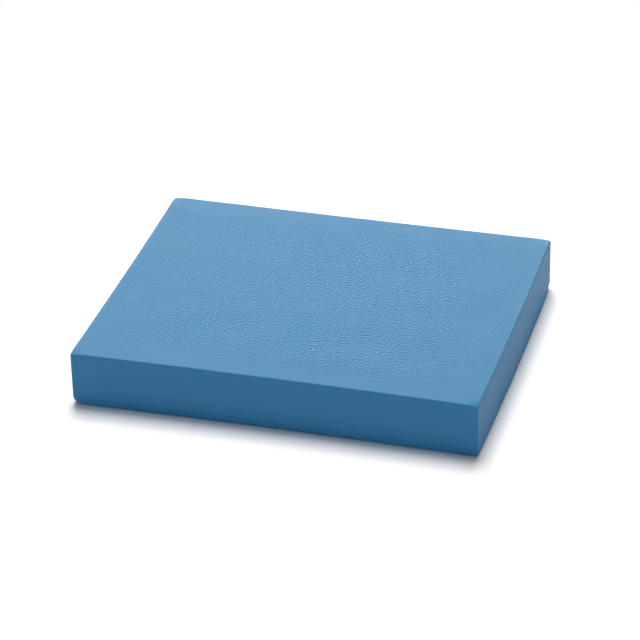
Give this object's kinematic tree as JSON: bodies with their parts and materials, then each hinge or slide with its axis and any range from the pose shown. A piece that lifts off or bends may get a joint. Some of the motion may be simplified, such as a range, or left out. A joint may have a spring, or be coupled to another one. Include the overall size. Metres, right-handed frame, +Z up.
{
  "type": "balance pad",
  "caption": "Soft rectangular foam balance pad with a grained tread, smooth sides and rounded edges, which sinks underfoot and springs back.",
  "frame": {"origin": "middle of the underside, on the floor", "axes": "+X along the long side, +Y along the short side, +Z up through the tread"},
  "size_m": [0.5, 0.41, 0.07],
  "materials": {
    "skin": "satin, moulded grain",
    "foam": "matt, fine closed cells"
  },
  "bodies": {
    "base": {"bottom_skin": "skin", "side_skin": "skin", "foam_core": "foam"},
    "tread": {"top_skin": "skin"}
  },
  "joints": [
    {"name": "tread_press", "type": "slide", "parent": "base", "child": "tread", "axis": [0, 0, -1], "range_m": [0, 0.028], "stiffness_N_per_m": 25000, "deforming": ["foam_core", "side_skin"]}
  ]
}
